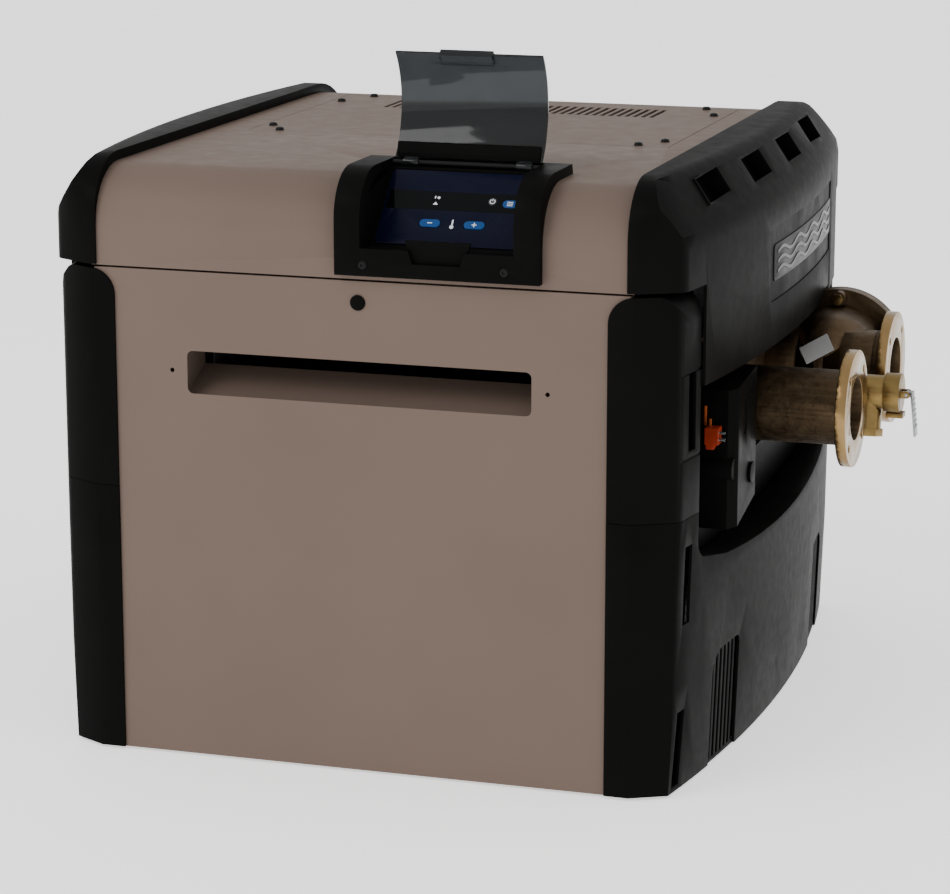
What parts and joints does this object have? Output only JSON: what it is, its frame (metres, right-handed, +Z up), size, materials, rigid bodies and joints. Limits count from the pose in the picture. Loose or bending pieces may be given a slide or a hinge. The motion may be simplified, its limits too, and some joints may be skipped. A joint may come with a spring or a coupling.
{
  "type": "pool heater",
  "caption": "Low box-shaped pool and spa water heater with bowed side covers, hinged display cover, front exhaust slot and flanged bronze water ports.",
  "frame": {"origin": "middle of the footprint, on the underside of the base pan", "axes": "+X to the plumbing side, along the water ports; +Y from the front panel to the back; +Z up"},
  "size_m": [0.8368, 0.7752, 0.7131],
  "materials": {
    "tan_paint": "satin powder coat, taupe",
    "black_plastic": "fine moulded texture, matte black",
    "black_screw": "black oxide, semi-gloss",
    "badge": "brushed",
    "galvanised": "galvanised spangle",
    "smoke_plastic": "smoky translucent, glossy",
    "steel": "satin",
    "navy_film": "printed polyester film, satin gloss",
    "lcd": "dark display window",
    "blue_key": "soft gloss",
    "dark_key": "soft gloss",
    "circuit_board": "solder mask",
    "dark_cast": "dark enamel over casting",
    "red_plastic": "moulded",
    "wire_sleeve": "insulation",
    "bronze": "cast bronze, machined faces",
    "brass_fitting": "machined brass",
    "gasket_rubber": "matte",
    "copper": "drawn copper",
    "black_iron": "black pipe",
    "white_ceramic": "unglazed"
  },
  "bodies": {
    "cabinet": {"base_pan": "galvanised", "front_panel": "tan_paint", "exhaust_deflector": "tan_paint", "hole_plug": "black_plastic", "top_panel": "tan_paint", "access_panel": "tan_paint", "panel_screws": "black_screw", "upper_cover_left": "black_plastic", "upper_cover_right": "black_plastic", "mid_panel_left": "black_plastic", "mid_panel_right": "black_plastic", "lower_panel_left": "black_plastic", "lower_panel_right": "black_plastic", "rear_panel": "tan_paint", "recess_panel": "black_plastic", "emblem_plates": "badge", "control_bezel": "black_plastic", "bezel_screws": "black_screw", "hinge_pin": "black_screw", "keypad_overlay": "navy_film", "lcd_screen": "lcd", "control_board": "circuit_board", "transformer": "dark_cast", "junction_box": "black_plastic", "conduit_plug": "black_plastic", "wire_connector": "red_plastic", "connector_posts": "steel", "lead_wires": "wire_sleeve", "header_casting": "bronze", "header_gasket": "gasket_rubber", "header_bolts": "brass_fitting", "inlet_pipe": "bronze", "outlet_pipe": "bronze", "bell_chamber": "bronze", "bell_cover": "bronze", "data_plate": "badge", "bypass_spring": "steel", "relief_valve": "brass_fitting", "relief_cap": "brass_fitting", "lever_pin": "steel", "exchanger_tubes": "copper", "return_header": "bronze", "combustion_chamber": "galvanised", "flue_collector": "galvanised", "burner_tubes": "steel", "gas_manifold": "steel", "gas_valve": "dark_cast", "gas_pipe": "black_iron", "blower_housing": "dark_cast", "blower_motor": "dark_cast", "igniter": "white_ceramic"},
    "cover": {"display_cover": "smoke_plastic"},
    "lever": {"relief_lever": "steel"},
    "wheel": {"blower_wheel": "steel"},
    "bypass": {"bypass_valve": "brass_fitting"},
    "gas_switch": {"gas_valve_switch": "black_plastic"},
    "minus_key": {"minus_button": "blue_key"},
    "plus_key": {"plus_button": "blue_key"},
    "menu_key": {"menu_button": "blue_key"},
    "mode_key": {"mode_button": "dark_key"}
  },
  "joints": [
    {"name": "display_cover_hinge", "type": "hinge", "parent": "cabinet", "child": "cover", "pos_m": [0.0845, -0.289, 0.6025], "axis": [1, 0, 0], "range_deg": [0, 130]},
    {"name": "relief_lever_hinge", "type": "hinge", "parent": "cabinet", "child": "lever", "pos_m": [0.473, -0.004, 0.34], "axis": [0, 1, 0], "range_deg": [-80, 0]},
    {"name": "blower_spin", "type": "hinge", "parent": "cabinet", "child": "wheel", "pos_m": [-0.096, -0.252, 0.205], "axis": [0, 1, 0], "continuous": true},
    {"name": "bypass_slide", "type": "slide", "parent": "cabinet", "child": "bypass", "axis": [0, 1, 0], "range_m": [0, 0.01], "stiffness_N_per_m": 800, "springref_m": -0.008, "deforming": ["bypass_spring"]},
    {"name": "gas_switch_turn", "type": "hinge", "parent": "cabinet", "child": "gas_switch", "pos_m": [-0.208, -0.23, 0.202], "axis": [0, 0, 1], "range_deg": [0, 90]},
    {"name": "minus_press", "type": "slide", "parent": "cabinet", "child": "minus_key", "axis": [0, 0.7173, -0.6968], "range_m": [0, 0.0012], "stiffness_N_per_m": 600},
    {"name": "plus_press", "type": "slide", "parent": "cabinet", "child": "plus_key", "axis": [0, 0.7173, -0.6968], "range_m": [0, 0.0012], "stiffness_N_per_m": 600},
    {"name": "menu_press", "type": "slide", "parent": "cabinet", "child": "menu_key", "axis": [0, 0.7173, -0.6968], "range_m": [0, 0.0012], "stiffness_N_per_m": 600},
    {"name": "mode_press", "type": "slide", "parent": "cabinet", "child": "mode_key", "axis": [0, 0.7173, -0.6968], "range_m": [0, 0.0012], "stiffness_N_per_m": 600}
  ]
}
